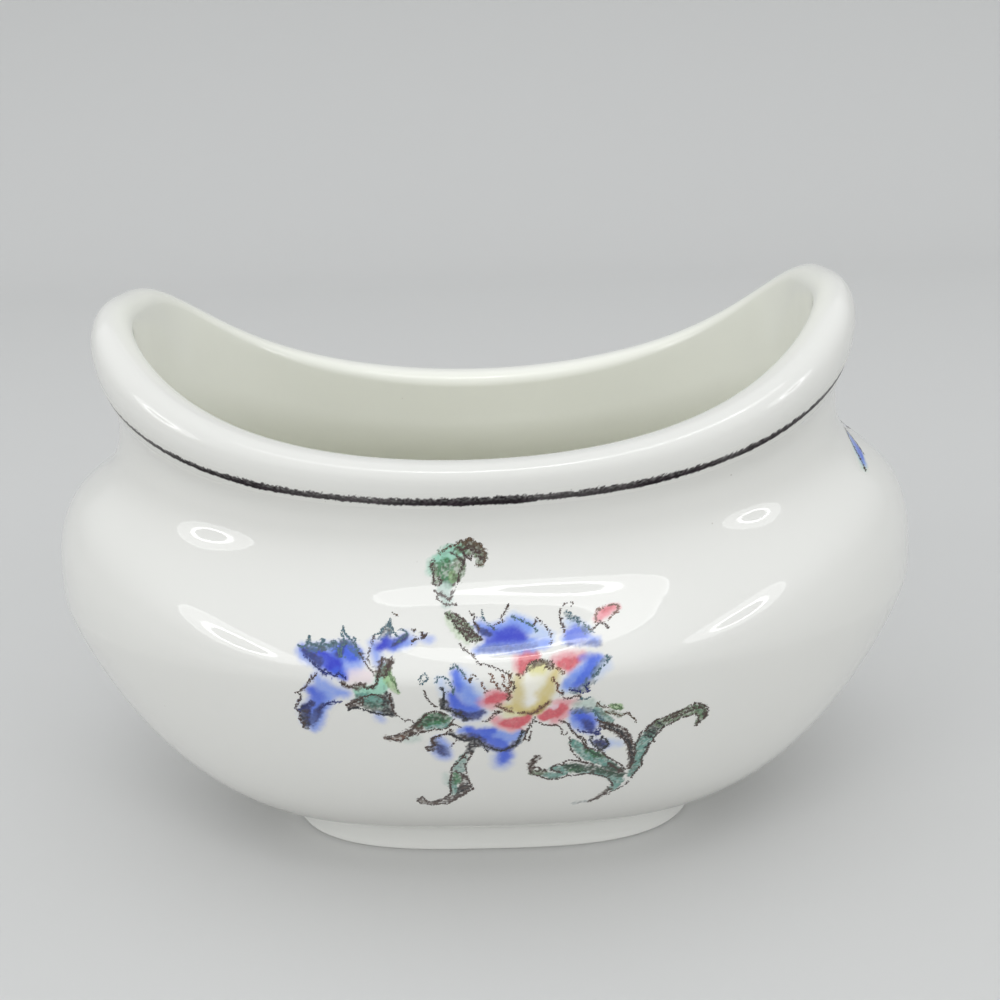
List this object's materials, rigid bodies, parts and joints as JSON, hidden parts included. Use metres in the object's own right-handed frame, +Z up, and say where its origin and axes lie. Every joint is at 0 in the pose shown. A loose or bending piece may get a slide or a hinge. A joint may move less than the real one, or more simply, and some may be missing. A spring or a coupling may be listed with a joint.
{
  "type": "oval bowl",
  "caption": "Oval open bowl of glazed white porcelain, boat-shaped, with a rolled lip that rises at both ends, a dark line under it, flower sprays and a low foot ring.",
  "frame": {"origin": "middle of the face that the foot ring stands on", "axes": "+X along the bowl, towards the end with the blue strokes, +Y to the back, +Z up"},
  "size_m": [0.115, 0.0726, 0.0734],
  "materials": {
    "glaze": "clear glossy glaze over warm white porcelain",
    "foot_glaze": "thin glaze over the foot, bare and matt on the edge that it stands on",
    "line_enamel": "brown-black enamel line, slightly uneven",
    "blue_enamel": "translucent blue enamel, washed out to pale at the edges",
    "pink_enamel": "translucent pink-red enamel",
    "yellow_enamel": "translucent straw-yellow enamel",
    "green_enamel": "translucent blue-green enamel with dark printed shading"
  },
  "bodies": {
    "root": {"body_shell": "glaze", "rolled_lip": "glaze", "foot_ring": "foot_glaze", "neck_line": "line_enamel", "front_flower_heart": "yellow_enamel", "front_pink_petal_left": "pink_enamel", "front_pink_petal_low_left": "pink_enamel", "front_pink_petal_low_right": "pink_enamel", "front_pink_petal_top_left": "pink_enamel", "front_pink_petal_top_right": "pink_enamel", "front_blue_petal_left": "blue_enamel", "front_blue_petal_top_left": "blue_enamel", "front_blue_petal_top_right": "blue_enamel", "front_blue_petal_right": "blue_enamel", "front_blue_petal_low_right": "blue_enamel", "front_blue_petal_bottom": "blue_enamel", "front_blue_petal_low_left": "blue_enamel", "front_pink_bud": "pink_enamel", "front_hooked_leaf": "green_enamel", "front_left_leaf": "green_enamel", "front_low_leaf": "green_enamel", "front_long_leaf": "green_enamel", "front_lying_leaf": "green_enamel", "front_scroll_leaf": "green_enamel", "front_side_bloom_top": "blue_enamel", "front_side_bloom_low": "blue_enamel", "front_side_bud": "blue_enamel", "front_calyx_leaf": "green_enamel", "back_flower_heart": "yellow_enamel", "back_pink_petal_left": "pink_enamel", "back_pink_petal_low_left": "pink_enamel", "back_pink_petal_low_right": "pink_enamel", "back_pink_petal_top_left": "pink_enamel", "back_pink_petal_top_right": "pink_enamel", "back_blue_petal_left": "blue_enamel", "back_blue_petal_top_left": "blue_enamel", "back_blue_petal_top_right": "blue_enamel", "back_blue_petal_right": "blue_enamel", "back_blue_petal_low_right": "blue_enamel", "back_blue_petal_bottom": "blue_enamel", "back_blue_petal_low_left": "blue_enamel", "back_pink_bud": "pink_enamel", "back_hooked_leaf": "green_enamel", "back_left_leaf": "green_enamel", "back_low_leaf": "green_enamel", "back_long_leaf": "green_enamel", "back_lying_leaf": "green_enamel", "back_scroll_leaf": "green_enamel", "back_side_bloom_top": "blue_enamel", "back_side_bloom_low": "blue_enamel", "back_side_bud": "blue_enamel", "back_calyx_leaf": "green_enamel", "right_end_petal_front": "blue_enamel", "right_end_petal_back": "blue_enamel", "right_end_leaf": "green_enamel"}
  },
  "joints": []
}
